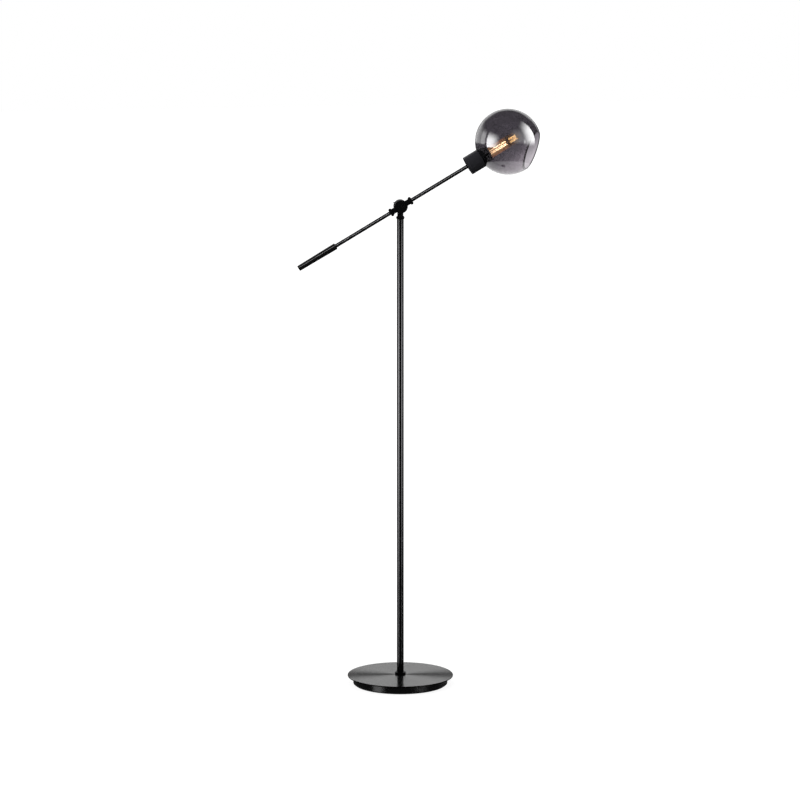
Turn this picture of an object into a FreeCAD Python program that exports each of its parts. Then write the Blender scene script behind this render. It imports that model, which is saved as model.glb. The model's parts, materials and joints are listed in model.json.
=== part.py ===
import FreeCAD, Part
import math
import os

from FreeCAD import Placement, Rotation, Vector

# Globe floor lamp. Millimetres, +Z up. The origin is the centre of the base's underside, on the floor.
# The arm lies in a plane parallel to XZ, with the lamp head towards +X and the counterweight towards -X.

# --- Clearances -----------------------------------------------------------------------------------
FIT = 0.05            # between two pieces that are screwed or pushed together
RUNNING = 0.08        # radial, between a shaft and the hole that it turns in
FACE = 0.1            # between two faces that turn on each other
SEAT = 0.1            # between a glass surface and what holds it
LOOSE = 0.3           # round the threaded tube where it passes a plate or a washer
PAST = 1.0            # how far a cutting shape runs past the face that it cuts

# --- Threaded tube, nuts and washers ----------------------------------------------------------------
THREAD_RADIUS = 5.0
THREAD_BORE = 3.5
NUT_ACROSS_FLATS = 14.0
NUT_HEIGHT = 4.0
NUT_CORNER_SLOPE = 0.6        # drop of a nut's turned-down corner, over its width
WASHER_RADIUS = 17.0
WASHER_THICKNESS = 2.0

# --- Base -----------------------------------------------------------------------------------------
PLATE_RADIUS = 140.0
PLATE_THICKNESS = 3.0
PLATE_EDGE = 0.8
PLATE_OVERHANG = 15.0
WEIGHT_HEIGHT = 20.0
WEIGHT_EDGE = 1.2
PAD_THICKNESS = 2.0
PAD_INSET = 4.0
RECESS_MARGIN = 7.0
RECESS_DEPTH = 12.0
NIPPLE_SETBACK = 2.0
CORD_BORE_RADIUS = 3.6
CORD_SLOT_MARGIN = 0.4
GLAND_WALL = 1.9
GLAND_FLANGE_WIDTH = 1.7
GLAND_FLANGE_LENGTH = 2.5
GLAND_FLANGE_ROUND = 0.8
GLAND_LENGTH = 12.0
GLAND_LIFT = 1.0
COLLAR_WIDTH = 5.5
COLLAR_HEIGHT = 8.0
COLLAR_ROUND = 3.2

# --- Pole -----------------------------------------------------------------------------------------
POLE_RADIUS = 9.0
POLE_WALL = 1.0
POLE_END_CHAMFER = 0.2
SEAM_HEIGHT = 845.0
SEAM_CHAMFER = 0.4
POLE_TOP = 1243.0
BUSH_LENGTH = 20.0
BUSH_SETBACK = 0.3
JOINER_LENGTH = 36.0

# --- Swivel on top of the pole ----------------------------------------------------------------------
BEAD_PROUD = 2.0
BEAD_HEIGHT = 8.0
SWIVEL_BUSHING_LENGTH = 16.0
SWIVEL_WASHER = 0.5
SPIGOT_RADIUS = 5.0
SPIGOT_END = 1.0              # how far the spigot shows below its bushing
NECK_STEP = 1.0
NECK_LENGTH = 9.0
NECK_OVERLAP = 1.0
NECK_MERGE = 1.5
STEM_BORE = 3.0
GROOVE_DEPTH = 0.9
GROOVE_HEIGHT = 3.1
GROOVE_WEB_ANGLE = 16.0
DOG_RADIUS = 1.25
DOG_CLEARANCE = 0.2
SCREW_RADIUS = 2.0
SCREW_SHOULDER_GAP = 0.2
SCREW_SETBACK = 0.3
SCREW_SOCKET_FLATS = 2.0
SCREW_SOCKET_DEPTH = 1.5

# --- Knuckle: two hollow discs face to face, from the bolt outwards -----------------------------------
BOLT_RADIUS = 3.0
BOLT_HEAD_WIDTH = 2.2
BOLT_HEAD_HEIGHT = 3.0
BOLT_HEAD_ROUND = 0.8
BOLT_WASHER = 1.0
BOLT_WASHER_WIDTH = 0.7
BOLT_TAIL = 3.0
HEAD_POCKET_MARGIN = 1.1
HEAD_CLEARANCE = 0.3
BOSS_WALL = 2.0
REAR_BOSS_WALL = 3.0
CAVITY_WIDTH = 6.2
KNUCKLE_WALL = 3.0
KNUCKLE_EDGE = 2.0
KNUCKLE_GAP = 0.5
REAR_FACE_Y = 7.5
REAR_FLOOR = 3.0
SPLIT_MARGIN = 1.3            # from the arm's tubes back to the rear disc's face
FRICTION_DISC = 0.5
FRONT_FACE_Y = -16.0
FRONT_FLOOR = 3.0
CAP_THICKNESS = 1.2
CAP_CROWN = 0.7
STOP_PIN_RADIUS = 1.25
STOP_PIN_INSET = 2.5
STOP_PIN_REACH = 5.0
STOP_PIN_ROOT = 2.0
STOP_ANGLE = 45.0
STOP_MARGIN = 0.5
LUG_WIDTH_ANGLE = 9.0
LUG_HEIGHT = 5.0
LUG_SETBACK = 1.0

# --- Wing nut ---------------------------------------------------------------------------------------
SPRING_WASHER = 1.0
SPRING_WASHER_MARGIN = 1.0
WING_HUB_WALL = 3.0
WING_HUB_TOP_WALL = 1.8
WING_HUB_HEIGHT = 8.0
WING_HUB_FOOT = 2.5
WING_SPAN = 33.0
WING_HEIGHT = 16.0
WING_THICKNESS = 2.5
WING_TIP_RADIUS = 3.0
WING_TIP_ANGLES = (-35.0, 45.0, 125.0)      # start, middle and end of the tip's round
WING_ROOT = 1.0
WING_FOOT = 1.0
WING_ROOT_DROP = 0.6
WING_LOWER_BOW = 2.2
WING_UPPER_BOW = 0.8
WING_ANGLE = 153.0

# --- Arm ------------------------------------------------------------------------------------------
ARM_ELEVATION = 30.15
ARM_OFFSET_Y = -10.0
ARM_RADIUS = 5.0
ARM_WALL = 1.0
SOCKET_WALL = 2.6
SOCKET_LENGTH = 8.0
SOCKET_DEPTH = 9.2
SOCKET_STEP = 0.2
ARM_BEAD_PROUD = 6.0
ARM_BEAD_DROP = 2.2
ARM_BEAD_LENGTH = 7.6
COUNTERWEIGHT_START = 198.8
COUNTERWEIGHT_LENGTH = 113.2
COUNTERWEIGHT_RADIUS = 8.75
COUNTERWEIGHT_TIP_RADIUS = 7.5
COUNTERWEIGHT_ROUND = 1.8
COUNTERWEIGHT_CHAMFER = 0.4
COUNTERWEIGHT_SOCKET = 20.0

# --- Lamp head, along the arm from the tilt axis --------------------------------------------------------
CUP_BACK = 204.0
CUP_DEPTH = 39.8
CUP_WALL = 1.2
CUP_BACK_THICKNESS = 3.0
CUP_EDGE = 0.6
CUP_MARGIN = 4.0
HOLDER_GAP = 1.0
HOLDER_NECK_WIDTH = 2.2
HOLDER_NECK_LENGTH = 6.0
HOLDER_CAP_LENGTH = 18.0
HOLDER_SLOPE = 1.5
HOLDER_ROUND = 3.0
HOLDER_CEILING = 3.5
HOLDER_CEILING_BEVEL = 2.5
HOLDER_SCREW_RADIUS = 1.5
HOLDER_SLEEVE_LENGTH = 40.4
HOLDER_WALL = 2.0
HOLDER_LIP = 3.5
HOLDER_LIP_DEPTH = 2.05
HOLDER_MOUTH_CHAMFER = 0.8
INSERT_LENGTH = 9.0
INSERT_HOLE_RADIUS = 1.5
INSERT_HOLE_OFFSET = 9.0
SHELL_WALL = 0.5
SHELL_MARGIN = 0.35
SHELL_LENGTH = 23.0
SHELL_FLANGE = 2.0
SHELL_FLANGE_MARGIN = 1.45
CONTACT_HEIGHT = 2.4
CONTACT_THICKNESS = 0.5
CONTACT_WIDTH = 3.5
CONTACT_FOOT = 7.0
CONTACT_SLOPE = 2.1
CONTACT_TIP = 3.5

# --- Glass globe and its ring -------------------------------------------------------------------------
GLOBE_RADIUS = 86.0
GLASS_WALL = 2.2
GLASS_HOLE_MARGIN = 1.25
MOUTH_RADIUS = 51.2           # of the circle through the middle of the mouth's rim
MOUTH_ANGLE = 50.0
RING_WIDTH = 8.5
RING_FLANGE = 2.4
RING_CHAMFER = 0.6
RING_SKIRT_WALL = 2.8
RING_SKIRT_LENGTH = 9.0
RING_SKIRT_TAPER = 0.3
RING_RIBS = 24
RING_RIB_RADIUS = 0.9
RING_RIB_DEPTH = 0.55
RING_RIB_START = 1.0

# --- Bulb -----------------------------------------------------------------------------------------
BULB_LENGTH = 118.0
BULB_RADIUS = 15.0
BULB_GLASS = 0.8
BULB_FLARE = 7.0
BULB_MARGIN = 0.7
BULB_TIP_HEIGHT = 1.0
BULB_TIP_RADIUS = 4.5
BULB_TIP_SLOPE = 1.0
INSULATOR_HEIGHT = 3.6
INSULATOR_RADIUS = 11.0
INSULATOR_STEP = 0.5
BULB_CAP_RADIUS = 13.45
BULB_CAP_WALL = 0.4
BULB_CAP_LENGTH = 22.0
BULB_CAP_SHOULDER = 2.5
BULB_CAP_LIP = 1.5
BULB_NECK_OVERLAP = 8.0
STEM_RADIUS = 2.4
STEM_TIP_RADIUS = 1.2
STEM_TAPER = 2.0
STEM_FOOT = 1.0
STEM_FLARE_RADIUS = 4.9
STEM_FLARE_HEIGHT = 3.5
LOWER_FILAMENTS = 4
LOWER_CLEARANCE = 4.85
FILAMENT_GAP = 9.5
UPPER_FILAMENTS = 6
UPPER_LENGTH = 21.0
UPPER_CLEARANCE = 7.5
FILAMENT_RADIUS = 0.9
FILAMENT_CIRCLE = 4.6
CROWN_CIRCLE = 6.2
SPIDER_THICKNESS = 0.8

# --- Heights and radii that follow: base, pole and swivel -----------------------------------------------
PLATE_BOTTOM = PAD_THICKNESS + WEIGHT_HEIGHT
PLATE_TOP = PLATE_BOTTOM + PLATE_THICKNESS
WEIGHT_RADIUS = PLATE_RADIUS - PLATE_OVERHANG
RECESS_RADIUS = WASHER_RADIUS + RECESS_MARGIN
RECESS_TOP = PAD_THICKNESS + RECESS_DEPTH
CORD_SLOT_RADIUS = CORD_BORE_RADIUS + CORD_SLOT_MARGIN
GLAND_RADIUS = CORD_BORE_RADIUS + GLAND_WALL
GLAND_FLANGE_RADIUS = GLAND_RADIUS + GLAND_FLANGE_WIDTH
CORD_HEIGHT = PAD_THICKNESS + GLAND_RADIUS + GLAND_LIFT
COLLAR_RADIUS = POLE_RADIUS + COLLAR_WIDTH
POLE_BORE = POLE_RADIUS - POLE_WALL
BEAD_RADIUS = POLE_RADIUS + BEAD_PROUD
BEAD_TOP = POLE_TOP + BEAD_HEIGHT
SCREW_HEIGHT = POLE_TOP + BEAD_HEIGHT / 2
SPIGOT_BOTTOM = POLE_TOP - SWIVEL_BUSHING_LENGTH - SPIGOT_END
NECK_RADIUS = POLE_RADIUS - NECK_STEP
NECK_BOTTOM = BEAD_TOP + FACE + SWIVEL_WASHER

# --- Knuckle and arm that follow ------------------------------------------------------------------------
BOLT_HEAD_RADIUS = BOLT_RADIUS + BOLT_HEAD_WIDTH
HEAD_POCKET_RADIUS = BOLT_HEAD_RADIUS + HEAD_POCKET_MARGIN
HEAD_POCKET_DEPTH = CAP_THICKNESS + HEAD_CLEARANCE + BOLT_HEAD_HEIGHT + BOLT_WASHER + FACE
BOSS_RADIUS = HEAD_POCKET_RADIUS + BOSS_WALL
REAR_BOSS_RADIUS = BOLT_RADIUS + REAR_BOSS_WALL
CAVITY_RADIUS = BOSS_RADIUS + CAVITY_WIDTH
KNUCKLE_RADIUS = CAVITY_RADIUS + KNUCKLE_WALL
KNUCKLE_HEIGHT = NECK_BOTTOM + NECK_LENGTH + KNUCKLE_RADIUS - NECK_OVERLAP
SOCKET_RADIUS = ARM_RADIUS + SOCKET_WALL
SOCKET_END = KNUCKLE_RADIUS + SOCKET_LENGTH
SOCKET_FLOOR = SOCKET_END - SOCKET_DEPTH
SPLIT_Y = ARM_OFFSET_Y + ARM_RADIUS + SPLIT_MARGIN
FRONT_RIM_Y = SPLIT_Y - FRICTION_DISC - 2 * FACE
POCKET_FLOOR_Y = FRONT_FACE_Y + HEAD_POCKET_DEPTH
STOP_PIN_CIRCLE = CAVITY_RADIUS - STOP_PIN_INSET
WING_HUB_RADIUS = BOLT_RADIUS + WING_HUB_WALL
SPRING_WASHER_RADIUS = WING_HUB_RADIUS + SPRING_WASHER_MARGIN
ARM_BEAD_RADIUS = ARM_RADIUS + ARM_BEAD_PROUD
COUNTERWEIGHT_END = COUNTERWEIGHT_START + COUNTERWEIGHT_LENGTH

# --- Lamp head that follows -----------------------------------------------------------------------------
HOLDER_CAP_START = CUP_BACK + CUP_BACK_THICKNESS + NUT_HEIGHT + HOLDER_GAP
TUBE_END = HOLDER_CAP_START + HOLDER_NECK_LENGTH
HOLDER_SPLIT = HOLDER_CAP_START + HOLDER_CAP_LENGTH
HOLDER_END = HOLDER_SPLIT + HOLDER_SLEEVE_LENGTH
HOLDER_NECK_RADIUS = ARM_RADIUS + HOLDER_NECK_WIDTH
INSERT_END = HOLDER_SPLIT + FIT + INSERT_LENGTH
SHELL_RADIUS = BULB_CAP_RADIUS + SHELL_MARGIN + SHELL_WALL
SHELL_FLANGE_RADIUS = SHELL_RADIUS + SHELL_FLANGE
HOLDER_MOUTH_RADIUS = max(BULB_RADIUS, BULB_CAP_RADIUS) + BULB_MARGIN
HOLDER_BORE = max(SHELL_FLANGE_RADIUS + SHELL_FLANGE_MARGIN, HOLDER_MOUTH_RADIUS + HOLDER_LIP_DEPTH)
HOLDER_RADIUS = HOLDER_BORE + HOLDER_WALL
GLASS_HOLE_RADIUS = HOLDER_RADIUS + GLASS_HOLE_MARGIN
CUP_RADIUS = GLASS_HOLE_RADIUS + CUP_MARGIN
GLASS_SEAT = CUP_BACK + CUP_DEPTH
GLASS_INNER_RADIUS = GLOBE_RADIUS - GLASS_WALL
GLOBE_CENTRE = GLASS_SEAT + math.sqrt(GLOBE_RADIUS**2 - GLASS_HOLE_RADIUS**2)
RING_RADIUS = GLASS_HOLE_RADIUS + RING_WIDTH
RING_SKIRT_RADIUS = HOLDER_RADIUS + FIT + RING_SKIRT_WALL

# --- Bulb that follows ----------------------------------------------------------------------------------
BULB_START = INSERT_END + CONTACT_HEIGHT + FACE
BULB_END = BULB_START + BULB_LENGTH
BULB_CAP_START = BULB_START + BULB_TIP_HEIGHT + INSULATOR_HEIGHT
BULB_CAP_END = BULB_CAP_START + BULB_CAP_LENGTH
BULB_NECK_RADIUS = BULB_CAP_RADIUS - BULB_CAP_WALL - FIT
LOWER_START = BULB_CAP_END + LOWER_CLEARANCE
UPPER_END = BULB_END - UPPER_CLEARANCE
UPPER_START = UPPER_END - UPPER_LENGTH
LOWER_END = UPPER_START - FILAMENT_GAP

X_AXIS = Vector(1, 0, 0)
Y_AXIS = Vector(0, 1, 0)
Z_AXIS = Vector(0, 0, 1)
ORIGIN = Vector(0, 0, 0)
PIVOT = Vector(0, ARM_OFFSET_Y, KNUCKLE_HEIGHT)
SAME = 0.01                   # two sizes this close are the same edge's
QUARTER_BEND = 1 - math.sqrt(0.5)


# --- Helpers ----------------------------------------------------------------------------------------
def turned(outline):
    """A solid of revolution about Z. The outline's (radius, height) points run round its section;
    a point given as (middle, end) makes an arc through its middle."""
    edges = []
    here = Vector(outline[0][0], 0, outline[0][1])
    for step in outline[1:] + outline[:1]:
        if isinstance(step[0], tuple):
            middle = Vector(step[0][0], 0, step[0][1])
            end = Vector(step[1][0], 0, step[1][1])
            edges.append(Part.Arc(here, middle, end).toShape())
        else:
            end = Vector(step[0], 0, step[1])
            edges.append(Part.LineSegment(here, end).toShape())
        here = end
    return Part.Face(Part.Wire(edges)).revolve(ORIGIN, Z_AXIS, 360)


def bowed(start, end, bow):
    """An arc in an XZ plane whose middle stands off its chord by bow, to the left of start to end."""
    chord = end - start
    side = Vector(-chord.z, 0, chord.x).normalize()
    return Part.Arc(start, (start + end) * 0.5 + side * bow, end).toShape()


def rod(radius, bottom, top):
    return Part.makeCylinder(radius, top - bottom, Vector(0, 0, bottom))


def pipe(outer, inner, bottom, top):
    return rod(outer, bottom, top).cut(rod(inner, bottom - PAST, top + PAST))


def across(radius, start, end, centre=ORIGIN):
    """A rod along Y, from start to end, through the centre point."""
    return Part.makeCylinder(radius, end - start, Vector(centre.x, start, centre.z), Y_AXIS)


def ring_across(outer, inner, start, end):
    """A ring round the tilt axis, from start to end along Y."""
    return across(outer, start, end, PIVOT).cut(across(inner, start - PAST, end + PAST, PIVOT))


def hexagon(across_flats, bottom, top):
    corner = across_flats / math.sqrt(3)
    turns = [math.radians(60 * side) for side in range(7)]
    points = [Vector(corner * math.cos(turn), corner * math.sin(turn), bottom) for turn in turns]
    return Part.Face(Part.makePolygon(points)).extrude(Vector(0, 0, top - bottom))


def hex_nut(bottom, top, bore):
    """A nut whose corners are turned down at both ends."""
    corner = NUT_ACROSS_FLATS / math.sqrt(3)
    flat = NUT_ACROSS_FLATS / 2
    slope = (corner - flat) * NUT_CORNER_SLOPE
    blank = turned([
        (0, bottom),
        (flat, bottom),
        (corner, bottom + slope),
        (corner, top - slope),
        (flat, top),
        (0, top),
    ])
    return hexagon(NUT_ACROSS_FLATS, bottom, top).common(blank).cut(rod(bore, bottom - PAST, top + PAST))


def on_arm(shape):
    """Moves a piece made along +Z, from the tilt axis, to its place along the arm."""
    shape.Placement = Placement(PIVOT, Rotation(Y_AXIS, 90 - ARM_ELEVATION)).multiply(shape.Placement)
    return shape


def on_tail(shape):
    """Moves a piece made along +Z to the counterweight's side of the arm."""
    shape.rotate(ORIGIN, Y_AXIS, 180)
    return on_arm(shape)


def rounded_rim(shape, round_radius, radius, y):
    """Rounds the circular edge of this radius round a Y axis, at this y."""
    rims = [
        edge
        for edge in shape.Edges
        if isinstance(edge.Curve, Part.Circle)
        and abs(edge.Curve.Radius - radius) < SAME
        and abs(edge.CenterOfMass.y - y) < SAME
    ]
    return shape.makeFillet(round_radius, rims)


# --- Base pieces --------------------------------------------------------------------------------------
def floor_pad():
    return rod(WEIGHT_RADIUS - PAD_INSET, 0, PAD_THICKNESS)


def base_weight():
    bottom = PAD_THICKNESS
    top = PLATE_BOTTOM
    blank = turned([
        (0, bottom),
        (WEIGHT_RADIUS - WEIGHT_EDGE, bottom),
        (WEIGHT_RADIUS, bottom + WEIGHT_EDGE),
        (WEIGHT_RADIUS, top - WEIGHT_EDGE),
        (WEIGHT_RADIUS - WEIGHT_EDGE, top),
        (0, top),
    ])
    recess = rod(RECESS_RADIUS, bottom - PAST, RECESS_TOP)
    nipple_hole = rod(THREAD_RADIUS + LOOSE, bottom, top + PAST)
    return blank.cut(recess).cut(nipple_hole).cut(cord_slot()).cut(gland_seat())


def cord_slot():
    """The cast channel under the weight, from its recess to its rear wall, with a round roof."""
    roof = across(CORD_SLOT_RADIUS, 0, WEIGHT_RADIUS + PAST, Vector(0, 0, CORD_HEIGHT))
    below = Part.makeBox(
        2 * CORD_SLOT_RADIUS,
        WEIGHT_RADIUS + PAST,
        CORD_HEIGHT - PAD_THICKNESS + PAST,
        Vector(-CORD_SLOT_RADIUS, 0, PAD_THICKNESS - PAST),
    )
    return roof.fuse(below)


def gland_seat():
    start = WEIGHT_RADIUS - GLAND_LENGTH - FIT
    return across(GLAND_RADIUS + FIT, start, WEIGHT_RADIUS + PAST, Vector(0, 0, CORD_HEIGHT))


def cord_gland():
    """The bushing in the rear wall that the supply cord passes through."""
    centre = Vector(0, 0, CORD_HEIGHT)
    start = WEIGHT_RADIUS - GLAND_LENGTH
    flange_start = WEIGHT_RADIUS + FIT
    end = flange_start + GLAND_FLANGE_LENGTH
    body = across(GLAND_RADIUS, start, flange_start, centre)
    flange = rounded_rim(
        across(GLAND_FLANGE_RADIUS, flange_start, end, centre),
        GLAND_FLANGE_ROUND,
        GLAND_FLANGE_RADIUS,
        end,
    )
    bore = across(CORD_BORE_RADIUS, start - PAST, end + PAST, centre)
    return body.fuse(flange).cut(bore).removeSplitter()


def base_plate():
    bottom = PLATE_BOTTOM
    top = PLATE_TOP
    rim = PLATE_RADIUS - PLATE_EDGE
    hole = THREAD_RADIUS + LOOSE
    return turned([
        (hole, bottom),
        (rim, bottom),
        ((PLATE_RADIUS, (bottom + top) / 2), (rim, top)),
        (hole, top),
    ])


def base_nipple():
    return pipe(THREAD_RADIUS, THREAD_BORE, PAD_THICKNESS + NIPPLE_SETBACK, PLATE_TOP + BUSH_LENGTH)


def nipple_washer():
    return pipe(WASHER_RADIUS, THREAD_RADIUS + LOOSE, RECESS_TOP - WASHER_THICKNESS, RECESS_TOP)


def nipple_nut():
    top = RECESS_TOP - WASHER_THICKNESS
    return hex_nut(top - NUT_HEIGHT, top, THREAD_RADIUS + FIT)


def base_collar():
    """The rounded ring round the foot of the pole."""
    bottom = PLATE_TOP
    top = PLATE_TOP + COLLAR_HEIGHT
    bore = POLE_RADIUS + FIT
    bend = COLLAR_ROUND * QUARTER_BEND
    return turned([
        (bore, bottom),
        (COLLAR_RADIUS, bottom),
        (COLLAR_RADIUS, top - COLLAR_ROUND),
        ((COLLAR_RADIUS - bend, top - bend), (COLLAR_RADIUS - COLLAR_ROUND, top)),
        (bore, top),
    ])


# --- Pole pieces --------------------------------------------------------------------------------------
def pole_section(bottom, top, chamfer_bottom, chamfer_top):
    """A tube whose outer edges are broken at both ends."""
    return turned([
        (POLE_BORE, bottom),
        (POLE_RADIUS - chamfer_bottom, bottom),
        (POLE_RADIUS, bottom + chamfer_bottom),
        (POLE_RADIUS, top - chamfer_top),
        (POLE_RADIUS - chamfer_top, top),
        (POLE_BORE, top),
    ])


def lower_pole():
    return pole_section(PLATE_TOP, SEAM_HEIGHT, POLE_END_CHAMFER, SEAM_CHAMFER)


def upper_pole():
    return pole_section(SEAM_HEIGHT, POLE_TOP, SEAM_CHAMFER, POLE_END_CHAMFER)


def pole_bushes():
    """The threaded bushes pressed into the pole's ends at the base and on both sides of the seam."""
    starts = [
        PLATE_TOP + BUSH_SETBACK,
        SEAM_HEIGHT - BUSH_SETBACK - BUSH_LENGTH,
        SEAM_HEIGHT + BUSH_SETBACK,
    ]
    bushes = [pipe(POLE_BORE - FIT, THREAD_RADIUS + FIT, start, start + BUSH_LENGTH) for start in starts]
    return Part.makeCompound(bushes)


def pole_joiner():
    half = JOINER_LENGTH / 2
    return pipe(THREAD_RADIUS, THREAD_BORE, SEAM_HEIGHT - half, SEAM_HEIGHT + half)


def swivel_seat():
    """The bead on top of the pole, with the bushing below it that the stem turns in."""
    bottom = POLE_TOP - SWIVEL_BUSHING_LENGTH
    bore = SPIGOT_RADIUS + RUNNING
    seat = turned([
        (bore, bottom),
        (POLE_BORE - FIT, bottom),
        (POLE_BORE - FIT, POLE_TOP),
        (POLE_RADIUS, POLE_TOP),
        ((BEAD_RADIUS, POLE_TOP + BEAD_HEIGHT / 2), (POLE_RADIUS, BEAD_TOP)),
        (bore, BEAD_TOP),
    ])
    return seat.cut(across(SCREW_RADIUS + FIT, 0, BEAD_RADIUS + PAST, Vector(0, 0, SCREW_HEIGHT)))


def swivel_screw():
    """The dog-point screw at the back of the bead. Its tip runs in the stem's groove."""
    centre = Vector(0, 0, SCREW_HEIGHT)
    tip = SPIGOT_RADIUS - GROOVE_DEPTH + DOG_CLEARANCE
    shoulder = SPIGOT_RADIUS + RUNNING + SCREW_SHOULDER_GAP
    end = BEAD_RADIUS - SCREW_SETBACK
    body = across(SCREW_RADIUS, shoulder, end, centre).fuse(across(DOG_RADIUS, tip, shoulder, centre))
    socket = hexagon(SCREW_SOCKET_FLATS, -PAST, SCREW_SOCKET_DEPTH)
    socket.Placement = Placement(Vector(0, end, SCREW_HEIGHT), Rotation(X_AXIS, 90))
    return body.cut(socket)


# --- Swivel body: stem, rear disc and the pivot bolt --------------------------------------------------
def knuckle_stem():
    """The stem that turns in the bead, with the hollow rear disc of the knuckle on top."""
    disc = across(KNUCKLE_RADIUS, SPLIT_Y, REAR_FACE_Y, PIVOT)
    disc = rounded_rim(disc, KNUCKLE_EDGE, KNUCKLE_RADIUS, REAR_FACE_Y)
    front_keep_out = across(KNUCKLE_RADIUS + KNUCKLE_GAP, FRONT_FACE_Y - PAST, SPLIT_Y, PIVOT)
    neck_top = KNUCKLE_HEIGHT - math.sqrt(KNUCKLE_RADIUS**2 - NECK_RADIUS**2) + NECK_MERGE
    neck = rod(NECK_RADIUS, NECK_BOTTOM, neck_top).cut(front_keep_out)
    body = disc.fuse(neck).fuse(rod(SPIGOT_RADIUS, SPIGOT_BOTTOM, NECK_BOTTOM))
    cavity = across(CAVITY_RADIUS, SPLIT_Y - PAST, REAR_FACE_Y - REAR_FLOOR, PIVOT)
    cavity = cavity.cut(across(REAR_BOSS_RADIUS, SPLIT_Y - 2 * PAST, REAR_FACE_Y, PIVOT))
    wire_way = rod(STEM_BORE, SPIGOT_BOTTOM - PAST, KNUCKLE_HEIGHT - REAR_BOSS_RADIUS - PAST)
    bolt_hole = across(BOLT_RADIUS + FIT, SPLIT_Y - PAST, REAR_FACE_Y + PAST, PIVOT)
    body = body.cut(cavity).cut(wire_way).cut(bolt_hole).cut(swivel_groove())
    return body.cut(stop_pin_shape(FIT)).removeSplitter()


def swivel_groove():
    """The groove round the stem, broken at the front by the web that stops the swivel."""
    bottom = SCREW_HEIGHT - GROOVE_HEIGHT / 2
    groove = pipe(SPIGOT_RADIUS + PAST, SPIGOT_RADIUS - GROOVE_DEPTH, bottom, bottom + GROOVE_HEIGHT)
    half = SPIGOT_RADIUS * math.sin(math.radians(GROOVE_WEB_ANGLE / 2))
    reach = 2 * SPIGOT_RADIUS
    web = Part.makeBox(2 * half, reach, GROOVE_HEIGHT, Vector(-half, -reach, bottom))
    return groove.cut(web)


def swivel_washer():
    bottom = BEAD_TOP + FACE
    return pipe(NECK_RADIUS, SPIGOT_RADIUS + RUNNING, bottom, bottom + SWIVEL_WASHER)


def pivot_bolt():
    """The bolt through both discs, head in front, with the wing nut's thread at the back."""
    head_back = POCKET_FLOOR_Y - FACE - BOLT_WASHER
    head_front = head_back - BOLT_HEAD_HEIGHT
    tail = REAR_FACE_Y + SPRING_WASHER + WING_HUB_HEIGHT + BOLT_TAIL
    head = across(BOLT_HEAD_RADIUS, head_front, head_back, PIVOT)
    head = rounded_rim(head, BOLT_HEAD_ROUND, BOLT_HEAD_RADIUS, head_front)
    return head.fuse(across(BOLT_RADIUS, head_back, tail, PIVOT))


def bolt_washer():
    back = POCKET_FLOOR_Y - FACE
    return ring_across(BOLT_HEAD_RADIUS + BOLT_WASHER_WIDTH, BOLT_RADIUS + FIT, back - BOLT_WASHER, back)


def friction_disc():
    """The ring between the rims of the two discs."""
    return ring_across(KNUCKLE_RADIUS, CAVITY_RADIUS, SPLIT_Y - FRICTION_DISC, SPLIT_Y)


def stop_pin_shape(extra=0.0):
    centre = PIVOT + Vector(0, 0, STOP_PIN_CIRCLE)
    front = FRONT_RIM_Y - STOP_PIN_REACH - extra
    back = REAR_FACE_Y - REAR_FLOOR + STOP_PIN_ROOT + extra
    return across(STOP_PIN_RADIUS + extra, front, back, centre)


def stop_pin():
    """The pin in the rear disc that the arm hub's two lugs meet at the ends of its travel."""
    return stop_pin_shape()


def spring_washer():
    back = REAR_FACE_Y + SPRING_WASHER
    return ring_across(SPRING_WASHER_RADIUS, BOLT_RADIUS + FIT, REAR_FACE_Y, back)


def wing_nut():
    """A hub with two rounded wings that lean away from the knuckle."""
    hub = turned([
        (0, 0),
        (WING_HUB_RADIUS, 0),
        (WING_HUB_RADIUS, WING_HUB_FOOT),
        (BOLT_RADIUS + WING_HUB_TOP_WALL, WING_HUB_HEIGHT),
        (0, WING_HUB_HEIGHT),
    ])
    wings = [wing(side) for side in (0, 180)]
    bore = rod(BOLT_RADIUS + RUNNING, -PAST, WING_HEIGHT + PAST)
    nut = hub.fuse(wings).cut(bore).removeSplitter()
    turn = Rotation(Y_AXIS, -WING_ANGLE).multiply(Rotation(X_AXIS, -90))
    nut.Placement = Placement(Vector(PIVOT.x, REAR_FACE_Y + SPRING_WASHER + FACE, PIVOT.z), turn)
    return nut


def wing(side):
    """One wing, drawn in the hub's section plane as arcs and extruded to its thickness."""
    back = -WING_THICKNESS / 2
    root = BOLT_RADIUS + WING_ROOT
    low = Vector(root, back, WING_FOOT)
    high = Vector(root, back, WING_HUB_HEIGHT - WING_ROOT_DROP)
    tip = Vector(WING_SPAN / 2 - WING_TIP_RADIUS, back, WING_HEIGHT - WING_TIP_RADIUS)
    turns = [math.radians(angle) for angle in WING_TIP_ANGLES]
    below, outside, above = [
        tip + Vector(math.cos(turn), 0, math.sin(turn)) * WING_TIP_RADIUS for turn in turns
    ]
    edges = [
        bowed(low, below, -WING_LOWER_BOW),
        Part.Arc(below, outside, above).toShape(),
        bowed(above, high, WING_UPPER_BOW),
        Part.LineSegment(high, low).toShape(),
    ]
    plate = Part.Face(Part.Wire(edges)).extrude(Vector(0, WING_THICKNESS, 0))
    plate.rotate(ORIGIN, Z_AXIS, side)
    return plate


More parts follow.
